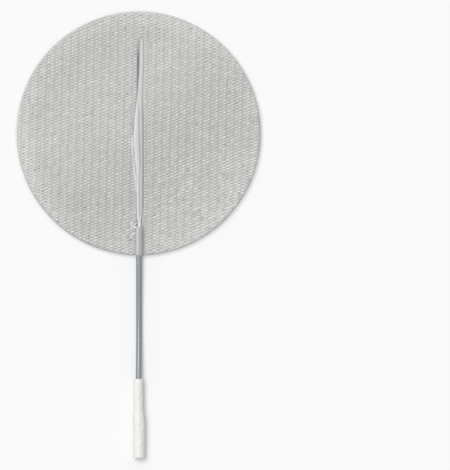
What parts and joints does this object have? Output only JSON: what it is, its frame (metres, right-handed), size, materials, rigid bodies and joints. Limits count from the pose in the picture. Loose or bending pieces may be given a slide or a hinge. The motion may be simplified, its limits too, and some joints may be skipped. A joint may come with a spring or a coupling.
{
  "type": "electrotherapy electrode pad",
  "caption": "Round self-adhesive electrode pad: a clear gel disc on conductive knit cloth, with a pigtail lead that ends in a sleeved female socket.",
  "frame": {"origin": "middle of the pad's back face", "axes": "+Z out of the skin side, +Y from the lead's exit across the pad along the knit's wales, +X to the right seen from the skin side"},
  "size_m": [0.075, 0.1375, 0.0041],
  "materials": {
    "conductive_knit": "silver-grey warp-knit cloth of metallised yarn, matte with a faint sheen",
    "hydrogel": "clear, soft, tacky gel with a wet gloss",
    "bare_conductor": "fine bare strands, pale grey",
    "lead_jacket": "flexible blue-grey jacket with a soft gloss",
    "plated_contact": "plated turned contact",
    "white_sleeve": "white shrunk sleeve, half matte"
  },
  "bodies": {
    "root": {"knit_backing": "conductive_knit", "hydrogel_layer": "hydrogel", "strand_1": "bare_conductor", "strand_2": "bare_conductor", "strand_3": "bare_conductor", "strand_4": "bare_conductor", "strand_5": "bare_conductor", "strand_6": "bare_conductor", "strand_7": "bare_conductor", "lead_jacket": "lead_jacket", "conductor_tail": "bare_conductor", "socket_contact": "plated_contact", "socket_sleeve": "white_sleeve"}
  },
  "joints": []
}
